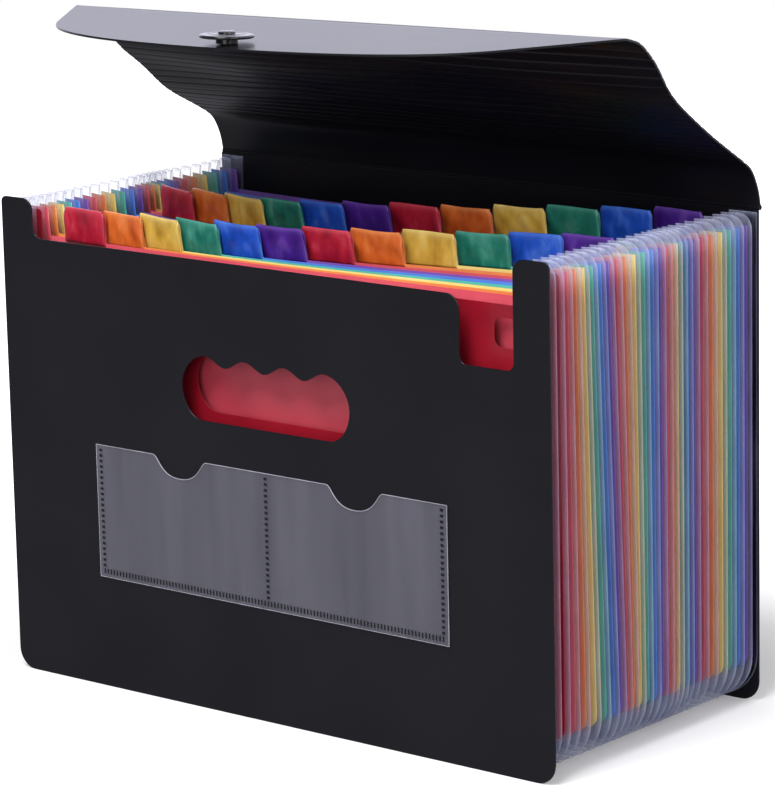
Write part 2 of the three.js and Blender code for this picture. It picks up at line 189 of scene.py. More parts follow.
def black_sheet():
    """Extruded polypropylene sheet with a fine sand grain. It reads as a soft satin black: dark
    and even face on, and grey where it is seen at a low angle."""
    material, tree, shader, place = start_material("black_polypropylene_sheet")
    patches = add_node(tree, "ShaderNodeTexNoise", inputs={"Vector": place, "Scale": 14.0, "Detail": 3.0})
    ramp = add_node(tree, "ShaderNodeValToRGB", inputs={"Fac": patches.outputs["Fac"]})
    colour = two_tones(ramp, "#101015", "#15151b")
    tree.links.new(colour, shader.inputs["Base Color"])
    # The real grain is near 0.1 mm, and 0.5 mm is the finest that shows
    grain_width = 0.5 * MM
    fine = {"Vector": place, "Scale": 1 / grain_width, "Detail": 2.0}
    grain = add_node(tree, "ShaderNodeTexNoise", inputs=fine)
    bump = add_node(
        tree,
        "ShaderNodeBump",
        inputs={"Height": grain.outputs["Fac"], "Strength": 0.12, "Distance": 0.05 * MM},
    )
    tree.links.new(bump.outputs["Normal"], shader.inputs["Normal"])
    shine = add_node(
        tree,
        "ShaderNodeMapRange",
        inputs={"Value": patches.outputs["Fac"], "To Min": 0.3, "To Max": 0.34},
    )
    tree.links.new(shine.outputs["Result"], shader.inputs["Roughness"])
    shader.inputs["IOR"].default_value = POLYPROPYLENE_IOR
    shader.inputs["Specular IOR Level"].default_value = 0.35
    return material


def button_plastic():
    """Moulded glossy black plastic: small, hard highlights on the cap's rim."""
    material, tree, shader, place = start_material("moulded_black_button")
    haze = add_node(tree, "ShaderNodeTexNoise", inputs={"Vector": place, "Scale": 300.0, "Detail": 2.0})
    ramp = add_node(tree, "ShaderNodeValToRGB", inputs={"Fac": haze.outputs["Fac"]})
    colour = two_tones(ramp, "#131316", "#1b1b1f")
    tree.links.new(colour, shader.inputs["Base Color"])
    shader.inputs["Roughness"].default_value = 0.22
    shader.inputs["IOR"].default_value = 1.5
    return material


def clear_film(name, low, high, alpha_low, alpha_high, roughness, streak, folds=False):
    """Clear polypropylene film with a milky haze, drawn as a pale, partly see-through skin.
    The haze runs in soft streaks of the given width, as extruded film has. Film with folds
    turns milky at its creases and its cut edge, and has part of the colour of the sheet behind it
    painted on, as painted light that the sheet sends through the film."""
    material, tree, shader, place = start_material(name)
    # A streak is about eight times as tall as it is wide
    stretch = {"Vector": place, "Scale": (1 / streak, 1 / streak, 0.12 / streak)}
    spread_out = add_node(tree, "ShaderNodeMapping", inputs=stretch)
    haze = add_node(
        tree,
        "ShaderNodeTexNoise",
        inputs={"Vector": spread_out.outputs["Vector"], "Scale": 1.0, "Detail": 3.0, "Roughness": 0.5},
    )
    ramp = add_node(tree, "ShaderNodeValToRGB", inputs={"Fac": haze.outputs["Fac"]})
    colour = two_tones(ramp, low, high)
    alpha = add_node(
        tree,
        "ShaderNodeMapRange",
        inputs={
            "Value": haze.outputs["Fac"],
            "From Min": NOISE_LOW,
            "From Max": NOISE_HIGH,
            "To Min": alpha_low,
            "To Max": alpha_high,
        },
    ).outputs["Result"]
    if folds:
        crease = add_node(tree, "ShaderNodeAttribute", {"attribute_name": "haze"}).outputs["Fac"]
        milky = {0: crease, 1: CREASE_MILK, 2: alpha}
        alpha = add_node(tree, "ShaderNodeMath", {"operation": "MULTIPLY_ADD"}, milky).outputs[0]
        # Painted light: part of the colour of the sheet behind is mixed into the film's own colour
        sheet = add_node(tree, "ShaderNodeAttribute", {"attribute_name": "painted_sheet_light"})
        painted_light_mix = {0: sheet.outputs["Alpha"], 6: colour, 7: sheet.outputs["Color"]}
        colour = add_node(tree, "ShaderNodeMix", {"data_type": "RGBA"}, painted_light_mix).outputs[2]
    tree.links.new(colour, shader.inputs["Base Color"])
    tree.links.new(alpha, shader.inputs["Alpha"])
    ripple = add_node(
        tree,
        "ShaderNodeBump",
        inputs={"Height": haze.outputs["Fac"], "Strength": 0.2, "Distance": 0.2 * MM},
    )
    tree.links.new(ripple.outputs["Normal"], shader.inputs["Normal"])
    shader.inputs["Roughness"].default_value = roughness
    shader.inputs["IOR"].default_value = POLYPROPYLENE_IOR
    return material


def divider_film(name, deep, bright):
    """Coloured polypropylene film, smooth and softly glossy, with faint cloudy tone."""
    material, tree, shader, place = start_material("polypropylene_film_" + name)
    cloud = add_node(tree, "ShaderNodeTexNoise", inputs={"Vector": place, "Scale": 30.0, "Detail": 4.0})
    ramp = add_node(tree, "ShaderNodeValToRGB", inputs={"Fac": cloud.outputs["Fac"]})
    colour = two_tones(ramp, deep, bright)
    tree.links.new(colour, shader.inputs["Base Color"])
    bump = add_node(
        tree,
        "ShaderNodeBump",
        inputs={"Height": cloud.outputs["Fac"], "Strength": 0.2, "Distance": 0.4 * MM},
    )
    tree.links.new(bump.outputs["Normal"], shader.inputs["Normal"])
    shader.inputs["Roughness"].default_value = 0.32
    shader.inputs["IOR"].default_value = POLYPROPYLENE_IOR
    return material


def sleeve_film(name, deep, middle, pale):
    """Glossy coloured film folded over a card: its tone breaks into soft patches about 8 mm
    wide where the film lifts off the card, and its welded ends and fold are paler."""
    material, tree, shader, place = start_material("tab_sleeve_film_" + name)
    per_metre = 120.0
    stretch = {"Vector": place, "Scale": (per_metre, per_metre / 2, per_metre / 2)}
    spread_out = add_node(tree, "ShaderNodeMapping", inputs=stretch)
    patches = add_node(
        tree,
        "ShaderNodeTexNoise",
        inputs={"Vector": spread_out.outputs["Vector"], "Scale": 1.0, "Detail": 3.0, "Roughness": 0.5},
    )
    ramp = add_node(tree, "ShaderNodeValToRGB", inputs={"Fac": patches.outputs["Fac"]})
    tone = set_ramp(ramp, ((NOISE_LOW, linear(deep)), (0.55, linear(middle)), (0.85, linear(pale))))
    edge = add_node(tree, "ShaderNodeAttribute", {"attribute_name": "haze"}).outputs["Fac"]
    share = add_node(tree, "ShaderNodeMath", {"operation": "MULTIPLY"}, {0: edge, 1: 0.45})
    colour = add_node(
        tree,
        "ShaderNodeMix",
        {"data_type": "RGBA"},
        {0: share.outputs[0], 6: tone, 7: linear(pale)},
    )
    tree.links.new(colour.outputs[2], shader.inputs["Base Color"])
    crinkle = add_node(
        tree,
        "ShaderNodeTexNoise",
        inputs={"Vector": place, "Scale": 220.0, "Detail": 4.0, "Roughness": 0.6},
    )
    bump = add_node(
        tree,
        "ShaderNodeBump",
        inputs={"Height": crinkle.outputs["Fac"], "Strength": 0.45, "Distance": 0.4 * MM},
    )
    tree.links.new(bump.outputs["Normal"], shader.inputs["Normal"])
    shader.inputs["Roughness"].default_value = 0.26
    shader.inputs["IOR"].default_value = POLYPROPYLENE_IOR
    return material


DIVIDER_TONES = {
    "red": ("#c44253", "#d65461"),
    "orange": ("#da753e", "#e98a4c"),
    "yellow": ("#e1c468", "#edd683"),
    "green": ("#47a596", "#5bb8a8"),
    "blue": ("#4172ce", "#5487e0"),
    "purple": ("#6942a1", "#7e54b4"),
}
SLEEVE_TONES = {
    "red": ("#8c1028", "#bc2038", "#d85868"),
    "orange": ("#b8481c", "#de6c2c", "#f09c60"),
    "yellow": ("#b88c34", "#dcb44c", "#f0d88c"),
    "green": ("#145c50", "#227c6c", "#5cac98"),
    "blue": ("#143c9c", "#1f54cc", "#5c88e4"),
    "purple": ("#341470", "#4c2490", "#7c54b8"),
}


def dress(piece, material, slot, body, *nodes):
    """Gives a finished piece its material and body, and hides the nodes that it stands for.
    The slot is not used.
    """
    piece.data.materials.clear()
    piece.data.materials.append(material)
    if nodes:
        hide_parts(*nodes)
    if body:
        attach(piece, body)
    return piece


def new_piece(name, points, faces, smooth=True):
    """A mesh object at the origin from an array of points and a list of faces."""
    mesh = bpy.data.meshes.new(name)
    mesh.from_pydata(np.asarray(points, float).reshape(-1, 3).tolist(), [], faces)
    mesh.polygons.foreach_set("use_smooth", np.full(len(mesh.polygons), smooth))
    mesh.update()
    piece = bpy.data.objects.new(name, mesh)
    bpy.context.scene.collection.objects.link(piece)
    return piece


def grid_faces(rows, columns, wrap=False):
    """Quads of a grid whose points run row by row; wrap joins the last column to the first."""
    last = columns if wrap else columns - 1
    r, c = np.meshgrid(np.arange(rows - 1), np.arange(last), indexing="ij")
    a = r * columns + c
    b = r * columns + (c + 1) % columns
    return np.stack([a, b, b + columns, a + columns], -1).reshape(-1, 4).tolist()


def solid_skin(piece, thickness):
    """Gives an open sheet its thickness, half of it to each side."""
    skin = piece.modifiers.new("thickness", "SOLIDIFY")
    skin.thickness = thickness
    skin.offset = 0
    skin.use_even_offset = False


def arc_corner(before, corner, after, radius, steps):
    """Points on an arc of the given radius that rounds the corner between two straight edges."""
    if radius <= 0:
        return [corner]
    u = (before - corner) / np.linalg.norm(before - corner)
    v = (after - corner) / np.linalg.norm(after - corner)
    half = math.acos(float(np.clip(u @ v, -1, 1))) / 2
    reach = radius / math.tan(half)
    centre = corner + (u + v) / np.linalg.norm(u + v) * radius / math.sin(half)
    start, end = corner + u * reach - centre, corner + v * reach - centre
    turn = math.atan2(start[0] * end[1] - start[1] * end[0], float(start @ end))
    angles = np.linspace(0, turn, steps + 1)
    c, s = np.cos(angles), np.sin(angles)
    return list(centre + np.stack([start[0] * c - start[1] * s, start[0] * s + start[1] * c], -1))


def rounded_outline(corners, steps=8):
    """Closed outline through corners given as x, z and radius."""
    points = np.array([c[:2] for c in corners], float)
    outline = []
    for index, (*_, radius) in enumerate(corners):
        before, after = points[index - 1], points[(index + 1) % len(points)]
        outline += arc_corner(before, points[index], after, radius, steps)
    return np.array(outline)


def bezier(a, b, c, d, steps=10):
    """Points on a cubic from a to d with handles b and c, without the last one."""
    t = np.linspace(0, 1, steps, endpoint=False)[:, None]
    a, b, c, d = (np.asarray(p, float) for p in (a, b, c, d))
    return (1 - t) ** 3 * a + 3 * (1 - t) ** 2 * t * b + 3 * (1 - t) * t**2 * c + t**3 * d


def grip_outline(rise=0.0):
    """The hand grip: a flat lower edge, round ends and one scallop for each finger above."""
    bottom = GRIP_BOTTOM + rise
    crest = bottom + GRIP_HEIGHT
    cusp = crest - GRIP_CUSP_DROP
    middle = bottom + GRIP_HEIGHT / 2
    last_crest = (FINGERS - 1) / 2 * FINGER_PITCH
    bulge = GRIP_HEIGHT / 4
    ease = FINGER_PITCH / 5
    tight = FINGER_PITCH / 6
    low_turn = (GRIP_BASE_HALF, bottom), (GRIP_BASE_HALF + bulge, bottom), (GRIP_HALF, middle - bulge)
    high_turn = (GRIP_HALF, middle), (GRIP_HALF, middle + bulge), (last_crest + bulge, crest)
    right = [bezier(*low_turn, (GRIP_HALF, middle)), bezier(*high_turn, (last_crest, crest))]
    scallops = []
    for x in (last_crest - FINGER_PITCH / 2 - FINGER_PITCH * np.arange(FINGERS - 1)):
        start, end = x + FINGER_PITCH / 2, x - FINGER_PITCH / 2
        scallops.append(bezier((start, crest), (start - ease, crest), (x + tight, cusp), (x, cusp)))
        scallops.append(bezier((x, cusp), (x - tight, cusp), (end + ease, crest), (end, crest)))
    left = [piece[::-1] * (-1, 1) for piece in reversed(right)]
    return np.concatenate(right + scallops + [[(-last_crest, crest)]] + left)


def cut_sheet(name, outlines, y, thickness, edge):
    """A flat sheet cut to closed outlines in X and Z: the first is its rim and the others are
    holes. Its front is at y, and both faces' edges are eased by the given radius."""
    curve = bpy.data.curves.new(name, "CURVE")
    curve.dimensions = "2D"
    curve.fill_mode = "BOTH"
    curve.extrude = thickness / 2 - edge
    curve.bevel_depth = edge
    curve.bevel_resolution = 2
    curve.offset = -edge
    for outline in outlines:
        spline = curve.splines.new("POLY")
        spline.points.add(len(outline) - 1)
        flat = np.zeros((len(outline), 4))
        flat[:, :2] = outline
        spline.points.foreach_set("co", flat.ravel())
        spline.use_cyclic_u = True
    holder = bpy.data.objects.new(name + "_outline", curve)
    bpy.context.scene.collection.objects.link(holder)
    graph = bpy.context.evaluated_depsgraph_get()
    mesh = bpy.data.meshes.new_from_object(holder.evaluated_get(graph))
    bpy.data.objects.remove(holder)
    bpy.data.curves.remove(curve)
    flat = np.zeros(len(mesh.vertices) * 3)
    mesh.vertices.foreach_get("co", flat)
    flat = flat.reshape(-1, 3)
    placed = np.stack([flat[:, 0], y + thickness / 2 - flat[:, 2], flat[:, 1]], -1)
    mesh.vertices.foreach_set("co", placed.ravel())
    mesh.materials.clear()
    mesh.update()
    mesh.name = name
    piece = bpy.data.objects.new(name, mesh)
    bpy.context.scene.collection.objects.link(piece)
    weld_and_shade(piece, angle=15)
    # Long thin triangles would streak the wide faces if they were shaded smooth
    normals = np.zeros(len(mesh.polygons) * 3)
    mesh.polygons.foreach_get("normal", normals)
    mesh.polygons.foreach_set("use_smooth", np.abs(normals[1::3]) < 0.999)
    return piece


BEAD_SIDES = 6


def wire_loop(name, outline, y, radius):
    """A thin round bead along a closed outline in X and Z, at the given y."""
    after = np.roll(outline, -1, axis=0) - outline
    before = outline - np.roll(outline, 1, axis=0)
    way = after / np.linalg.norm(after, axis=1)[:, None] + before / np.linalg.norm(before, axis=1)[:, None]
    way /= np.linalg.norm(way, axis=1)[:, None]
    side = np.stack([way[:, 1], -way[:, 0]], -1)
    turn = np.linspace(0, TAU, BEAD_SIDES, endpoint=False)
    flat = outline[:, None, :] + side[:, None, :] * radius * np.cos(turn)[None, :, None]
    depth = y + radius * np.sin(turn)[None, :] + 0 * flat[..., 0]
    points = np.stack([flat[..., 0], depth, flat[..., 1]], -1)
    rows = np.concatenate([points, points[:1]])
    piece = new_piece(name, rows, grid_faces(len(rows), BEAD_SIDES, wrap=True))
    weld_and_shade(piece, angle=60)
    return piece


def weld_and_shade(piece, angle):
    """Merges doubled points, turns the faces outwards and shades smooth up to an angle."""
    work = bmesh.new()
    work.from_mesh(piece.data)
    bmesh.ops.remove_doubles(work, verts=work.verts, dist=1e-6)
    bmesh.ops.recalc_face_normals(work, faces=work.faces)
    work.to_mesh(piece.data)
    work.free()
    piece.data.polygons.foreach_set("use_smooth", np.ones(len(piece.data.polygons), bool))
    piece.data.set_sharp_from_angle(angle=math.radians(angle))


# Front and back panels
PANEL_EDGE = 0.3 * MM
PANEL_TOP_CORNER = 3 * MM
WINDOW_CORNER = 4 * MM
WINDOW_MOUTH = 7 * MM
RECESS = HEIGHT - EAR_HEIGHT
EAR_INNER = HALF_WIDTH - EAR_WIDTH
WINDOW_LEFT = EAR_INNER - WINDOW_WIDTH
WINDOW_BOTTOM = RECESS - WINDOW_DEPTH


def make_front_panel(material):
    """Panel with two ears, the lowered edge between them, the index window and the grip."""
    rim = rounded_outline(
        [
            (-HALF_WIDTH, 0, PANEL_CORNER),
            (HALF_WIDTH, 0, PANEL_CORNER),
            (HALF_WIDTH, HEIGHT, PANEL_TOP_CORNER),
            (EAR_INNER, HEIGHT, EAR_RADIUS),
            (EAR_INNER, WINDOW_BOTTOM, WINDOW_CORNER),
            (WINDOW_LEFT, WINDOW_BOTTOM, WINDOW_CORNER),
            (WINDOW_LEFT, RECESS, WINDOW_MOUTH),
            (-EAR_INNER, RECESS, EAR_RADIUS),
            (-EAR_INNER, HEIGHT, EAR_RADIUS),
            (-HALF_WIDTH, HEIGHT, PANEL_TOP_CORNER),
        ]
    )
    piece = cut_sheet("front_panel_sheet", [rim, grip_outline()], FRONT_Y, PANEL_THICKNESS, PANEL_EDGE)
    return dress(piece, material, "black_sheet", "root", "front_panel")


def make_back_panel(material):
    """Plain panel with round lower corners, which carries the cover's fold along its top."""
    rim = rounded_outline(
        [
            (-HALF_WIDTH, 0, PANEL_CORNER),
            (HALF_WIDTH, 0, PANEL_CORNER),
            (HALF_WIDTH, HEIGHT, 0),
            (-HALF_WIDTH, HEIGHT, 0),
        ]
    )
    piece = cut_sheet("back_panel_sheet", [rim], BACK_LOW.y, BACK_HIGH.y - BACK_LOW.y, PANEL_EDGE)
    return dress(piece, material, "black_sheet", "root", "back_panel")


# How far the stack bows forwards, in millimetres
STACK_BOW = 26


def spread(x, pleat, z):
    """How far a sheet of the stack stands off its even place. The open stack bows forwards
    towards its free top, most near the middle of its width, as a sine across times the square
    of the height, and fades out at its first and last sheets. Three bell curves along the
    stack, in millimetres, open or close its pleats, the first of them near the floor.
    Neighbours never cross."""
    depth = pleat / PLEATS
    rise = np.clip(z / HEIGHT, 0, 1)
    across = np.clip((x + HALF_WIDTH) / (2 * HALF_WIDTH), 0, 1) ** 0.75
    bow = np.sin(math.pi * across) ** 1.5 * rise**2
    bow = bow * (1 - np.exp(-((depth / 0.2) ** 2))) * (1 - np.exp(-(1 - depth) / 0.05))
    wide_low = 9 * np.exp(-(((depth - 0.25) / 0.14) ** 2)) * (1 - rise)
    wide_middle = 4 * np.exp(-(((depth - 0.5) / 0.12) ** 2))
    narrow_back = -6 * np.exp(-(((depth - 0.75) / 0.12) ** 2))
    return MM * (wide_low + wide_middle + narrow_back - STACK_BOW * bow)


def set_share(piece, name, values):
    """Keeps one number for each point of a piece, which its material reads."""
    kept = piece.data.attributes.new(name, "FLOAT", "POINT")
    kept.data.foreach_set("value", np.asarray(values, np.float32).ravel())


def paint_sheet_light(piece, pleat, z):
    """Keeps for each point the colour of the sheet that stands in its pleat, and as alpha the
    share of it that is painted onto the film as painted light, which fades out past the sheet's
    lower and upper edges."""
    tones = np.array([linear(DIVIDER_TONES[name][1]) for name in RAINBOW])
    place = np.clip(pleat - FIRST_DIVIDER, 0, DIVIDERS - 1)
    first = np.floor(place).astype(int)
    second = np.minimum(first + 1, DIVIDERS - 1)
    part = (place - first)[:, None]
    colours = tones[first % len(RAINBOW)] * (1 - part) + tones[second % len(RAINBOW)] * part
    kept = np.broadcast_to(colours, (*z.shape, 4)).copy()
    fade = 5 * MM
    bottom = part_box("divider_01")[0].z
    within = np.clip((z - bottom) / fade, 0, 1) * np.clip((SHOULDER_TOP - z) / fade, 0, 1)
    kept[..., 3] = SHEET_LIGHT_SHARE * within
    made = piece.data.attributes.new("painted_sheet_light", "FLOAT_COLOR", "POINT")
    made.data.foreach_set("color", kept.astype(np.float32).ravel())


# How soft a fold is as a share of half a pleat, the lobes' radius, where across a pleat's
# depth its crest starts to turn milky and over which share of it, and how far down the haze
# of the cut edge and of the lobes goes
FOLD_EASE = 0.08
LOBE = 8 * MM
CREASE_START = 0.93
CREASE_SPAN = 0.07
CUT_EDGE_HAZE = 1.2 * MM
LOBE_HAZE = 11 * MM
LOBE_MILK = 0.12
# Width of a flange's rim, and how milky the flange is from its rim inwards
FLANGE_RIM = 0.8 * MM
FLANGE_MILK = (0.6, -0.45, -0.45)


def make_gusset(material):
    """Pleated film. Across: a triangle wave between valley and crest, eased at both folds, with
    a flat flange at each end. Along: down the left side, round two quarter circles and up the
    right side. Near its top each crest draws in on a quarter circle, which gives the lobes."""
    phase = np.array([0, 0.03, 0.1, 0.25, 0.4, 0.455, 0.485, 0.515, 0.545, 0.6, 0.75, 0.9, 0.97])
    along = np.append((np.arange(PLEATS)[:, None] + phase).ravel(), PLEATS)
    fold = np.abs(2 * (along % 1) - 1)
    reach = np.sqrt(fold**2 + FOLD_EASE**2) - FOLD_EASE
    reach = 1 - reach / (math.sqrt(1 + FOLD_EASE**2) - FOLD_EASE)
    top = GUSSET_HIGH.z
    corner_z = GUSSET_LOW.z + GUSSET_RADIUS - FILM / 2
    corner_x = CREST_X - GUSSET_RADIUS
    turn = np.linspace(0, math.pi / 2, 10)
    # Close rows through the lobe, then even ones down to the lower corner
    lobe_rows = LOBE * (1 - np.cos(np.linspace(0, math.pi / 2, 8)))
    below = np.append(lobe_rows, np.linspace(14 * MM, top - corner_z - 5 * MM, 22))
    down = top - below
    drawn = LOBE - np.sqrt(np.maximum(LOBE**2 - np.maximum(LOBE - below, 0) ** 2, 0))
    base = np.linspace(-corner_x, corner_x, 14)[1:-1]
    round_rows = 2 * len(turn) + len(base)
    bend = np.ones(len(turn))
    left_x = np.concatenate([0 * down, 0 * bend]) - corner_x
    centre_x = np.concatenate([left_x, base, -left_x])
    centre_z = np.concatenate([down, np.full(round_rows, corner_z), down[::-1]])
    left, under, right = math.pi, 1.5 * math.pi, TAU
    angle = np.concatenate([0 * down + left, left + turn, 0 * base + under, under + turn, 0 * down + right])
    drawn = np.concatenate([drawn, np.zeros(round_rows), drawn[::-1]])
    depth = np.minimum(PLEAT_DEPTH * reach[None, :], PLEAT_DEPTH - drawn[:, None] * (reach[None, :] > 0.3))
    out = VALLEY_X + depth - corner_x
    flange_x = np.array([CREST_X, CREST_X - FLANGE_RIM, VALLEY_X])
    flange = np.tile(flange_x - corner_x, (len(angle), 1))
    out = np.concatenate([flange, out, flange[:, ::-1]], 1)
    pleat = np.concatenate([[0] * 3, along, [PLEATS] * 3])
    inside = np.concatenate([[0] * 3, 0 * along + 1, [0] * 3])
    y = PLEAT_START + PLEAT_PITCH * pleat + FLANGE * (1 - inside) * np.sign(pleat - 1)
    x = centre_x[:, None] + out * np.cos(angle)[:, None]
    z = centre_z[:, None] + out * np.sin(angle)[:, None]
    points = np.stack([x, y + spread(x, pleat, z), z], -1)
    piece = new_piece("gusset_film", points, grid_faces(len(angle), len(y)))
    # The flange is clear but for its edge, and the creases, the lobes and the cut edge are milky
    milky = np.clip((reach - CREASE_START) / CREASE_SPAN, 0, 1)
    crease = np.concatenate([FLANGE_MILK, milky, FLANGE_MILK[::-1]])
    past_top = top - np.minimum(z, top)
    rim = np.exp(-past_top / CUT_EDGE_HAZE)
    cloudy = LOBE_MILK * inside * np.sqrt(np.clip(1 - past_top / LOBE_HAZE, 0, 1))
    set_share(piece, "haze", crease + (1 - crease) * np.maximum(rim, cloudy))
    # Paints part of each sheet's colour onto the film, as painted light from the sheets
    paint_sheet_light(piece, pleat, z)
    return dress(piece, material, "gusset_film", "root", "pleated_gusset")


def step_columns(edges, breaks, fine):
    """Columns in millimetres: even ones between the edges, and close ones at each break."""
    columns = [np.linspace(edges[0], edges[1], fine)]
    for x in breaks:
        columns.append(np.array([x - STEP_REACH, x - STEP, x + STEP, x + STEP_REACH]))
    return np.unique(np.round(np.concatenate(columns), 3))


def standing_sheet(name, node, pleat, top, tongue, slot, material):
    """A sheet that stands in the pleats. Across it runs from edge to edge, and up it runs from
    a lower edge with round corners to an upper edge that steps down inside the shoulders and
    up into the tab. The tongue is its left and right in X and its top."""
    low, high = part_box(node)
    half = high.x / MM
    shoulder = (VALLEY_X - FILM) / MM
    breaks = [-shoulder, shoulder, tongue[0] / MM, tongue[1] / MM]
    corner = np.array([0.5, 1.2, 2.2, 3.5, 5, 6.5])
    columns = step_columns((-half, half), breaks, 41)
    columns = np.unique(np.concatenate([columns, -half + corner, half - corner]))
    x = columns * MM
    places = [-half, -shoulder - STEP, -shoulder + STEP, shoulder - STEP, shoulder + STEP, half]
    upper = np.interp(columns, places, [SHOULDER_TOP, SHOULDER_TOP, top, top, SHOULDER_TOP, SHOULDER_TOP])
    inside = (columns > tongue[0] / MM) & (columns < tongue[1] / MM)
    upper = np.where(inside, tongue[2], upper)
    edge = np.maximum(SHEET_CORNER - (high.x - np.abs(x)), 0)
    lower = low.z + SHEET_CORNER - np.sqrt(SHEET_CORNER**2 - edge**2)
    rows = np.linspace(0, 1, 14)[:, None]
    z = lower[None, :] * (1 - rows) + upper[None, :] * rows
    y = (low.y + high.y) / 2 + spread(x, pleat, z)
    points = np.stack([np.broadcast_to(x, z.shape), y, z], -1)
    piece = new_piece(name, points, grid_faces(len(rows), len(x)))
    solid_skin(piece, FILM)
    return dress(piece, material, slot, "root", node)


def make_liner(material):
    """The red sheet behind the front panel, with its own grip and window openings. It is a darker
    red than the red dividers, as painted shade for the front panel's shadow.
    """
    low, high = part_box("front_liner")
    left = WINDOW_LEFT + LINER_WINDOW_INSET
    right = EAR_INNER + LINER_WINDOW_REACH
    bottom = WINDOW_BOTTOM + LINER_WINDOW_RISE
    top = LINER_TOP - LINER_WINDOW_DROP
    corners = [(left, bottom), (right, bottom), (right, top), (left, top)]
    window = rounded_outline([(x, z, LINER_WINDOW_CORNER) for x, z in corners], 4)
    shoulder = VALLEY_X - FILM
    rim = rounded_outline(
        [
            (low.x, low.z, SHEET_CORNER),
            (high.x, low.z, SHEET_CORNER),
            (high.x, high.z, LINER_CORNER),
            (shoulder, high.z, LINER_CORNER),
            (shoulder, LINER_TOP, LINER_CORNER),
            (-shoulder, LINER_TOP, LINER_CORNER),
            (-shoulder, high.z, LINER_CORNER),
            (low.x, high.z, LINER_CORNER),
        ],
        4,
    )
    outlines = [rim, grip_outline(LINER_GRIP_RISE), window]
    piece = cut_sheet("liner_sheet", outlines, low.y, high.y - low.y, LINER_EDGE)
    return dress(piece, material, "film_red", "root", "front_liner")


SLEEVE_FILM = 0.22 * MM
SLEEVE_PUFF = 0.3 * MM
SLEEVE_CRINKLE = 0.09 * MM


def make_sleeve(index, material):
    """Tab sleeve: a film folded over the tongue. Around: up the front, over a round fold and
    down the back. Across: from end to end. It puffs off the card, four random waves crinkle
    it, and its ends draw in at a waist and at the upper corners."""
    name = f"tab_sleeve_{index + 1:02d}"
    low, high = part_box(name)
    middle = (low.y + high.y) / 2
    half = (high.y - low.y) / 2 - 0.18 * MM
    rng = np.random.default_rng(40 + index)
    climb = np.linspace(0, 1, 12)
    side = np.ones(len(climb))
    round_over = np.linspace(0, math.pi, 7)[1:-1]
    fold_z = high.z - half
    side_z = low.z + (fold_z - low.z) * climb
    z = np.concatenate([side_z, fold_z + half * np.sin(round_over), side_z[::-1]])
    away = np.concatenate([-side, -np.cos(round_over), side])
    y = half * away
    end = 0.2 * MM
    across = np.linspace(low.x + end, high.x - end, 25)
    u = (across - low.x) / (high.x - low.x)
    v = np.clip((z - low.z) / (fold_z - low.z), 0, 1)
    puff = SLEEVE_PUFF * np.sin(math.pi * u)[None, :] ** 0.6 * np.sin(math.pi * v)[:, None]
    crinkle = np.zeros((len(z), len(u)))
    for _ in range(4):
        turns_u, turns_v = rng.uniform(0.8, 3.2), rng.uniform(-1.6, 1.6)
        crinkle += np.sin(TAU * (turns_u * u[None, :] + turns_v * v[:, None] + rng.uniform()))
    crinkle *= SLEEVE_CRINKLE * (0.3 + np.sin(math.pi * v)[:, None])
    lift = rng.uniform(-0.6, 0.3) * MM
    lift = lift + 0.3 * MM * np.sin(math.pi * (u * rng.uniform(0.7, 1.6) + rng.uniform()))
    droop = rng.uniform(-0.03, 0.005) * (across - across.mean())
    stands = middle + spread(across, index + FIRST_DIVIDER, z[:, None])
    yy = stands + y[:, None] + away[:, None] * (puff + crinkle)
    zz = z[:, None] + (lift + droop)[None, :] * v[:, None]
    waist = 0.5 * MM * rng.uniform(0.3, 1) * np.sin(math.pi * v + rng.uniform(-0.6, 0.6))[:, None]
    corner = 1.3 * MM * np.clip(v - 0.8, 0, 1)[:, None] ** 2 * 25
    xx = across[None, :] - (2 * u[None, :] - 1) ** 5 * (waist + corner)
    points = np.stack([xx, yy, zz], -1)
    piece = new_piece(name + "_film", points, grid_faces(len(z), len(across)))
    edge = np.minimum(np.minimum(u, 1 - u)[None, :] * 28, (1 - v[:, None]) * 15)
    set_share(piece, "haze", np.exp(-edge / 1.2))
    solid_skin(piece, SLEEVE_FILM)
    return dress(piece, material, "tab_" + RAINBOW[index % len(RAINBOW)], "root", name)


# Cover: band, ribs and lip
RIBS = 20
LIP_DROOP = math.radians(1.7)
LIP_LENGTH = 87 * MM
LIP_SHOULDER = 47 * MM
LIP_SHOULDER_IN = 32 * MM
LIP_FULLNESS = 0.72
BUTTON_INSET = 11 * MM
BUTTON_LEAN = math.radians(4)
COVER_THICKNESS = 1.0 * MM
# Rise for each metre to the right, the height and length in X of the cover's slow waves, and
# the depth of a groove and its reach as a share of a rib
TWIST = 0.014
SWAY = 0.7 * MM
SWAY_LENGTH = 210 * MM
GROOVE_DEPTH = 0.3 * MM
GROOVE_REACH = 0.1
BAND_ROWS = 12
LINE_STEPS = 30
# Shares of the way from the cover's hinge to the lip's crease, forwards and up
BAND_SHARES = [(0, 0), (0.02, 0.1), (0.065, 0.2)]
WAVE_SHARES = [(0.13, 0.26), (0.37, 0.42), (0.54, 0.565), (0.7, 0.71), (0.81, 0.87), (0.9, 0.965), (1, 1)]


def smooth_line(points):
    """Catmull-Rom curve through points."""
    padded = np.vstack([2 * points[0] - points[1], points, 2 * points[-1] - points[-2]])
    t = np.linspace(0, 1, LINE_STEPS, endpoint=False)[:, None]
    runs = [
        0.5 * (2 * b + (c - a) * t + (2 * a - 5 * b + 4 * c - d) * t**2 + (3 * b - a - 3 * c + d) * t**3)
        for a, b, c, d in zip(padded, padded[1:], padded[2:], padded[3:])
    ]
    return np.vstack(runs + [points[-1:]])


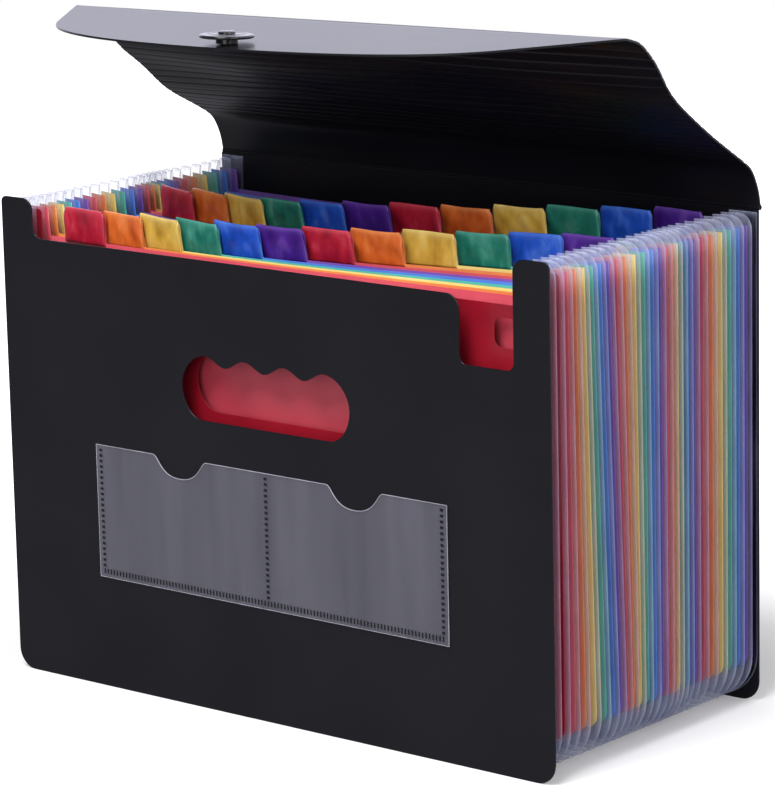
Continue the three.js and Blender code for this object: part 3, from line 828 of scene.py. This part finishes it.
def cover_wave():
    """Middle line of the cover as Y and Z from its hinge, its length at each point, and the
    length at which the plain band ends and the ribs start."""
    reach = np.array([LIP_HINGE.y - COVER_HINGE.y, LIP_HINGE.z - COVER_HINGE.z])
    line = smooth_line(np.array(BAND_SHARES + WAVE_SHARES) * reach)
    length = np.insert(np.cumsum(np.linalg.norm(np.diff(line, axis=0), axis=1)), 0, 0)
    return line, length, length[LINE_STEPS * len(BAND_SHARES)]


def lip_edge(x):
    """Length of the lip at x: straight shoulders, then one round front that leaves them without
    a corner."""
    shoulder_x = HALF_WIDTH - LIP_SHOULDER_IN
    bulge = (LIP_LENGTH - LIP_SHOULDER) * LIP_FULLNESS
    handle = (shoulder_x - bulge * LIP_SHOULDER_IN / LIP_SHOULDER, LIP_SHOULDER + bulge)
    front = bezier((0, LIP_LENGTH), (shoulder_x / 2, LIP_LENGTH), handle, (shoulder_x, LIP_SHOULDER), 40)
    outline = np.vstack([front, [(shoulder_x, LIP_SHOULDER), (HALF_WIDTH, 0.8 * MM)]])
    return np.interp(np.abs(x), outline[:, 0], outline[:, 1])


def make_cover(material):
    """Cover sheet in one piece: the band leaves the hinge, the ribs are shallow arches parted by
    grooves, and the lip runs on past its crease. Across it runs from side to side, and it is
    twisted a little, as the real sheet springs up more on its right."""
    line, length, band_end = cover_wave()
    rib = (length[-1] - band_end) / RIBS
    shape = np.array([0, 0.06, 0.12, 0.3, 0.5, 0.7, 0.88, 0.94])
    steps = np.append((np.arange(RIBS)[:, None] + shape).ravel(), RIBS)
    depths = np.random.default_rng(7).uniform(0.5, 1.3, RIBS + 1)
    groove = np.maximum(1 - np.abs((steps + 0.5) % 1 - 0.5) / GROOVE_REACH, 0)
    groove = np.concatenate([np.zeros(BAND_ROWS), groove * depths[np.round(steps).astype(int)]])
    runs = np.concatenate([np.linspace(0, band_end, BAND_ROWS, endpoint=False), band_end + steps * rib])
    centre = np.stack([np.interp(runs, length, line[:, 0]), np.interp(runs, length, line[:, 1])], -1)
    x = np.linspace(-HALF_WIDTH, HALF_WIDTH, 61)
    tangent = np.gradient(centre, axis=0)
    tangent /= np.linalg.norm(tangent, axis=1)[:, None]
    normal = np.stack([tangent[:, 1], -tangent[:, 0]], -1)
    share = (runs / runs[-1])[:, None] ** 1.5
    sway = SWAY * np.sin(TAU * (x / SWAY_LENGTH + 2.1 * share)) * np.sin(math.pi * share)
    rows_y = centre[:, :1] + sway * normal[:, :1]
    rows_z = centre[:, 1:] + sway * normal[:, 1:] + TWIST * x * share
    lip_rows = np.linspace(0, 1, 26)[1:]
    edge = lip_edge(x)
    lip_y = centre[-1, 0] - lip_rows[:, None] * edge[None, :] * math.cos(LIP_DROOP)
    lip_z = centre[-1, 1] - lip_rows[:, None] * edge[None, :] * math.sin(LIP_DROOP) + TWIST * x[None, :]
    base_y = np.vstack([rows_y, lip_y]) + COVER_HINGE.y
    base_z = np.vstack([rows_z, lip_z]) + COVER_HINGE.z
    half = COVER_THICKNESS / 2
    n_all = np.vstack([normal, np.tile([math.sin(LIP_DROOP), -math.cos(LIP_DROOP)], (len(lip_rows), 1))])
    thick = half - GROOVE_DEPTH * np.concatenate([groove, 0 * lip_rows])
    away = n_all * thick[:, None]
    x_all = np.broadcast_to(x, base_y.shape)
    under = np.stack([x_all, base_y + away[:, :1], base_z + away[:, 1:]], -1)
    above = np.stack([x_all, base_y - away[:, :1], base_z - away[:, 1:]], -1)
    rows, columns = base_y.shape
    faces = grid_faces(rows, columns)
    top_faces = [[i + rows * columns for i in reversed(face)] for face in faces]
    rim = np.concatenate(
        [
            np.arange(columns),
            np.arange(1, rows) * columns + columns - 1,
            (rows - 1) * columns + np.arange(columns - 2, -1, -1),
            np.arange(rows - 2, 0, -1) * columns,
        ]
    )
    after = np.roll(rim, -1)
    sides = np.stack([rim, rim + rows * columns, after + rows * columns, after], -1).tolist()
    points = np.concatenate([under.reshape(-1, 3), above.reshape(-1, 3)])
    piece = new_piece("cover_sheet", points, faces + top_faces + sides)
    weld_and_shade(piece, angle=40)
    dress(piece, material, "black_sheet", None, "cover_ribbed", "cover_lip")
    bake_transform(piece)
    return piece


def make_hinge_fold(material):
    """Rounded fold of the sheet where the cover leaves the back panel, drawn as a slim roll
    on the hinge's axis, so that it looks the same at every angle of the cover."""
    radius = 1.2 * MM
    rows, sides = 12, 20
    turn = np.linspace(0, TAU, sides, endpoint=False)
    x = np.linspace(-HALF_WIDTH, HALF_WIDTH, rows)[:, None]
    y = COVER_HINGE.y + radius * np.cos(turn)
    z = COVER_HINGE.z + radius * np.sin(turn)
    points = np.stack(np.broadcast_arrays(x, y, z), -1)
    last = rows * sides - 1
    ends = [list(range(sides)), list(range(last, last - sides, -1))]
    piece = new_piece("hinge_fold", points, grid_faces(rows, sides, wrap=True) + ends)
    weld_and_shade(piece, angle=40)
    return dress(piece, material, "black_sheet", "root")


def turned_piece(name, profile, centre, tilt):
    """A profile of radius and height in millimetres, spun about its axis and then leaned by
    tilt about X. On the axis a tiny radius stands in for none, so that the faces stay whole."""
    profile = np.array([(max(radius, 0.001) * MM, height * MM) for radius, height in profile])
    steps = 48
    turn = np.linspace(0, TAU, steps, endpoint=False)
    x = profile[:, :1] * np.cos(turn)
    y = profile[:, :1] * np.sin(turn)
    z = np.broadcast_to(profile[:, 1:], x.shape)
    c, s = math.cos(tilt), math.sin(tilt)
    points = np.stack([x, y * c - z * s, y * s + z * c], -1) + np.array(centre)
    piece = new_piece(name, points, grid_faces(len(profile), steps, wrap=True))
    weld_and_shade(piece, angle=40)
    return piece


def make_button(material):
    """Round button on the lip: neck, cap with a rolled rim, a fine ring and a low boss."""
    reach = LIP_LENGTH - BUTTON_INSET
    seat = (0, LIP_HINGE.y - reach * math.cos(LIP_DROOP), LIP_HINGE.z - reach * math.sin(LIP_DROOP))
    round_rim = np.linspace(-math.pi / 2, math.pi / 2, 9)
    rim = [(11.7 + 0.8 * math.cos(a), 4.1 + 0.8 * math.sin(a)) for a in round_rim]
    profile = [(0, 0.8), (4.9, 0.8), (5, 0.9), (5, 3.0), (5.4, 3.3), *rim, (8.6, 4.9), (8.3, 4.7)]
    profile += [(8.0, 4.9), (4.4, 5.0), (4.0, 5.2), (3.9, 6.0), (3.5, 6.3), (0, 6.3)]
    piece = turned_piece("button_cap", profile, seat, LIP_DROOP - BUTTON_LEAN)
    dress(piece, material, "button_plastic", "lip", "closure_button")
    head = [(0, -1.8), (5.6, -1.8), (6.6, -1.6), (7, -1.2), (7, -0.8), (2.5, -0.8), (2.5, 3), (0, 3)]
    rivet = turned_piece("rivet_head", head, seat, LIP_DROOP)
    dress(rivet, material, "button_plastic", "lip", "button_rivet")


def make_card_pocket(material, edge_material):
    """Frosted film over two bays, with a thumb notch over each. Each side of a notch is one
    cubic, and a thin bead along the film's outline stands for its pale cut edge."""
    half = POCKET_HIGH.x
    low, top = POCKET_LOW.z, POCKET_HIGH.z
    notch = half / 2
    wide, deep, shoulder = 13 * MM, 10 * MM, 4 * MM
    points = [np.array([(-half, low), (half, low), (half, top)])]
    for x in (notch, -notch):
        right, left, bottom = x + wide, x - wide, top - deep
        points.append(bezier((right + shoulder, top), (right, top), (right, bottom), (x, bottom), 14))
        points.append(bezier((x, bottom), (left, bottom), (left, top), (left - shoulder, top), 14))
        points.append(np.array([(left - shoulder, top)]))
    points.append(np.array([(-half, top)]))
    outline = np.concatenate(points)
    piece = cut_sheet("card_pocket_film", [outline], POCKET_LOW.y, 0.6 * MM, 0.12 * MM)
    dress(piece, material, "card_film", "root", "card_pocket")
    bead = wire_loop("card_pocket_cut_edge", outline, POCKET_LOW.y + 0.15 * MM, 0.22 * MM)
    dress(bead, edge_material, "card_film", "root")


def make_welds(material):
    """Weld marks of the card pocket, each a flat pyramid cut off at its top: rows of dots down
    both sides and the middle, and a row of upright ticks along the bottom."""
    half = POCKET_HIGH.x
    low, top = POCKET_LOW.z, POCKET_HIGH.z
    inset, dot_pitch, tick_pitch = 2.9 * MM, 2.7 * MM, 2.0 * MM
    dot_half, tick_half, crown_share = (1.05 * MM, 0.72 * MM), (0.5 * MM, 1.4 * MM), 0.6
    up = np.arange(low + 2 * inset, top - 2 * MM, dot_pitch)
    run = np.arange(-half + inset, half - inset / 2, tick_pitch)
    dots = [np.stack([np.full(len(up), x), up], -1) for x in (inset - half, 0.0, half - inset)]
    dots = np.concatenate([*dots, np.stack([run, np.full(len(run), low + inset)], -1)])
    sizes = np.full((len(dots), 2), dot_half)
    sizes[-len(run):] = tick_half
    corner = np.array([(-1, -1), (1, -1), (1, 1), (-1, 1)])
    flat = dots[:, None, :] + corner[None] * sizes[:, None, :]
    flat_in = dots[:, None, :] + corner[None] * sizes[:, None, :] * crown_share
    y_back = np.full(flat.shape[:2], POCKET_LOW.y + 0.05 * MM)
    y_front = np.full(flat.shape[:2], POCKET_LOW.y - 0.08 * MM)
    ring = np.stack([flat[..., 0], y_back, flat[..., 1]], -1)
    crown = np.stack([flat_in[..., 0], y_front, flat_in[..., 1]], -1)
    verts = np.concatenate([ring, crown], 1)
    base = (np.arange(len(dots)) * 8)[:, None, None]
    box = np.array([(0, 3, 2, 1), (4, 5, 6, 7), (0, 1, 5, 4), (1, 2, 6, 5), (2, 3, 7, 6), (3, 0, 4, 7)])
    faces = (base + box[None]).reshape(-1, 4).tolist()
    welds = new_piece("pocket_weld_dots", verts, faces, smooth=False)
    weld_and_shade(welds, angle=20)
    dress(welds, material, "black_sheet", "root")


def make_all():
    """Every material once, then every piece: the black sheets and the button, the card pocket
    and the gusset, and the coloured sheets with their sleeves from front to back."""
    black = black_sheet()
    button = button_plastic()
    card = clear_film("frosted_card_film", "#9291a0", "#9c9bab", 0.18, 0.21, 0.45, 12 * MM)
    gusset = clear_film("milky_gusset_film", "#b2b8de", "#d0d6f2", 0.12, 0.19, 0.25, 4 * MM, folds=True)
    card_edge = clear_film("heat_cut_film_edge", "#b4b3c0", "#c6c5d2", 0.5, 0.75, 0.3, 6 * MM)
    # The liner's darker red is painted shade, for the shadow that the front panel casts on it
    liner = divider_film("red_painted_shade", "#8c1022", "#a81a2c")
    films = {name: divider_film(name, *DIVIDER_TONES[name]) for name in RAINBOW}
    sleeves = {name: sleeve_film(name, *SLEEVE_TONES[name]) for name in RAINBOW}
    make_front_panel(black)
    make_back_panel(black)
    make_cover(black)
    make_hinge_fold(black)
    make_button(button)
    make_card_pocket(card, card_edge)
    make_welds(black)
    make_gusset(gusset)
    make_liner(liner)
    for index in range(DIVIDERS):
        name = RAINBOW[index % len(RAINBOW)]
        node = f"divider_{index + 1:02d}"
        low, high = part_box(f"tab_sleeve_{index + 1:02d}")
        top = high.z - TAB_HEIGHT
        tongue = (low.x + TONGUE_MARGIN, high.x - TONGUE_MARGIN, high.z - TONGUE_MARGIN)
        place = index + FIRST_DIVIDER
        standing_sheet(node + "_film", node, place, top, tongue, "film_" + name, films[name])
        make_sleeve(index, sleeves[name])


def make_camera():
    """Camera on a sphere round its target, turned by a small roll."""
    az, el, roll = (math.radians(a) for a in (VIEW_AZIMUTH, VIEW_ELEVATION, VIEW_ROLL))
    back = Vector((math.sin(az) * math.cos(el), -math.cos(az) * math.cos(el), math.sin(el)))
    right = (-back).cross(Vector((0, 0, 1))).normalized()
    up = right.cross(-back)
    side = right * math.cos(roll) + up * math.sin(roll)
    top = up * math.cos(roll) - right * math.sin(roll)
    place = Vector(VIEW_TARGET) + back * VIEW_DISTANCE
    data = bpy.data.cameras.new("camera")
    data.lens = VIEW_LENS
    data.sensor_width = VIEW_SENSOR
    data.clip_end = 50
    camera = bpy.data.objects.new("camera", data)
    camera.matrix_world = Matrix.Translation(place) @ Matrix((side, top, back)).transposed().to_4x4()
    bpy.context.scene.collection.objects.link(camera)
    bpy.context.scene.camera = camera


def make_light(name, place, target, size, watts):
    """A square soft box that faces its target."""
    data = bpy.data.lights.new(name, "AREA")
    data.size = size
    data.energy = watts
    lamp = bpy.data.objects.new(name, data)
    aim = Vector(target) - Vector(place)
    lamp.rotation_euler = aim.to_track_quat("-Z", "Y").to_euler()
    lamp.location = place
    bpy.context.scene.collection.objects.link(lamp)


def clear_tree(tree):
    """Empties a node tree, and gives its Light Path and a socket that is 1 for camera and
    transmission rays."""
    tree.nodes.clear()
    rays = add_node(tree, "ShaderNodeLightPath")
    direct = {0: rays.outputs["Is Camera Ray"], 1: rays.outputs["Is Transmission Ray"]}
    seen = add_node(tree, "ShaderNodeMath", {"operation": "MAXIMUM"}, direct)
    return rays, seen.outputs[0]


def make_room():
    """A pale room. Camera and transmission rays see it as white. Glossy rays see it dark in
    front of the folder and bright behind it, and it fills the shadows with a soft light."""
    scene = bpy.context.scene
    scene.view_settings.view_transform = "Standard"
    world = bpy.data.worlds.new("studio")
    scene.world = world
    world.use_nodes = True
    tree = world.node_tree
    rays, seen = clear_tree(tree)
    fill = add_node(tree, "ShaderNodeBackground", inputs={"Color": linear("#f4f4f6"), "Strength": 0.45})
    white = add_node(tree, "ShaderNodeBackground", inputs={"Color": (1, 1, 1, 1), "Strength": 1.0})
    direction = add_node(tree, "ShaderNodeTexCoord").outputs["Generated"]
    split = add_node(tree, "ShaderNodeSeparateXYZ", inputs={"Vector": direction})
    rise = {"Value": split.outputs["Y"], "From Min": -0.2, "From Max": 0.35, "To Min": 0.1, "To Max": 1.8}
    behind = add_node(tree, "ShaderNodeMapRange", inputs=rise).outputs["Result"]
    mirror = add_node(tree, "ShaderNodeBackground", inputs={"Color": linear("#ededff"), "Strength": behind})
    unseen = {0: rays.outputs["Is Glossy Ray"], 1: fill.outputs[0], 2: mirror.outputs[0]}
    glossy = add_node(tree, "ShaderNodeMixShader", inputs=unseen)
    every_ray = {0: seen, 1: glossy.outputs[0], 2: white.outputs[0]}
    whole = add_node(tree, "ShaderNodeMixShader", inputs=every_ray)
    add_node(tree, "ShaderNodeOutputWorld", inputs={"Surface": whole.outputs[0]})


def make_floor():
    """A pale floor that keeps the object's shadow. Camera and transmission rays see it glow
    more the further it is from the object, and other rays see a plain grey."""
    half = 1.8
    corners = [(-half, -half, 0), (half, -half, 0), (half, half, 0), (-half, half, 0)]
    floor = new_piece("floor", corners, [(0, 1, 2, 3)], smooth=False)
    material = bpy.data.materials.new("pale_floor")
    material.use_nodes = True
    tree = material.node_tree
    _, seen = clear_tree(tree)
    matte = add_node(tree, "ShaderNodeBsdfDiffuse", inputs={"Color": linear("#f8f8fa")})
    place = add_node(tree, "ShaderNodeTexCoord").outputs["Object"]
    away = add_node(tree, "ShaderNodeVectorMath", {"operation": "LENGTH"}, {0: place}).outputs["Value"]
    lift = {"Value": away, "From Min": 0.2, "From Max": 0.45, "To Min": 0.08, "To Max": 1.0}
    lift = add_node(tree, "ShaderNodeMapRange", inputs=lift).outputs["Result"]
    glow = add_node(tree, "ShaderNodeEmission", inputs={"Color": (1, 1, 1, 1), "Strength": lift})
    lifted = add_node(tree, "ShaderNodeAddShader", inputs={0: matte.outputs[0], 1: glow.outputs[0]})
    dim = add_node(tree, "ShaderNodeBsdfDiffuse", inputs={"Color": linear("#8c8c92")})
    every_ray = {0: seen, 1: dim.outputs[0], 2: lifted.outputs[0]}
    whole = add_node(tree, "ShaderNodeMixShader", inputs=every_ray)
    add_node(tree, "ShaderNodeOutputMaterial", inputs={"Surface": whole.outputs[0]})
    floor.data.materials.append(material)


def make_lights():
    """Three soft boxes that face the middle of the folder."""
    middle = (0, 0, 0.15)
    make_light("key_soft_box", (0.2, -1.6, 2.4), middle, 1.3, 66)
    make_light("front_fill", (0.9, -2.6, 0.7), middle, 1.6, 18)
    make_light("side_soft_box", (2.4, -0.7, 1.3), middle, 1.4, 30)


make_camera()
make_room()
make_floor()
make_lights()
make_all()
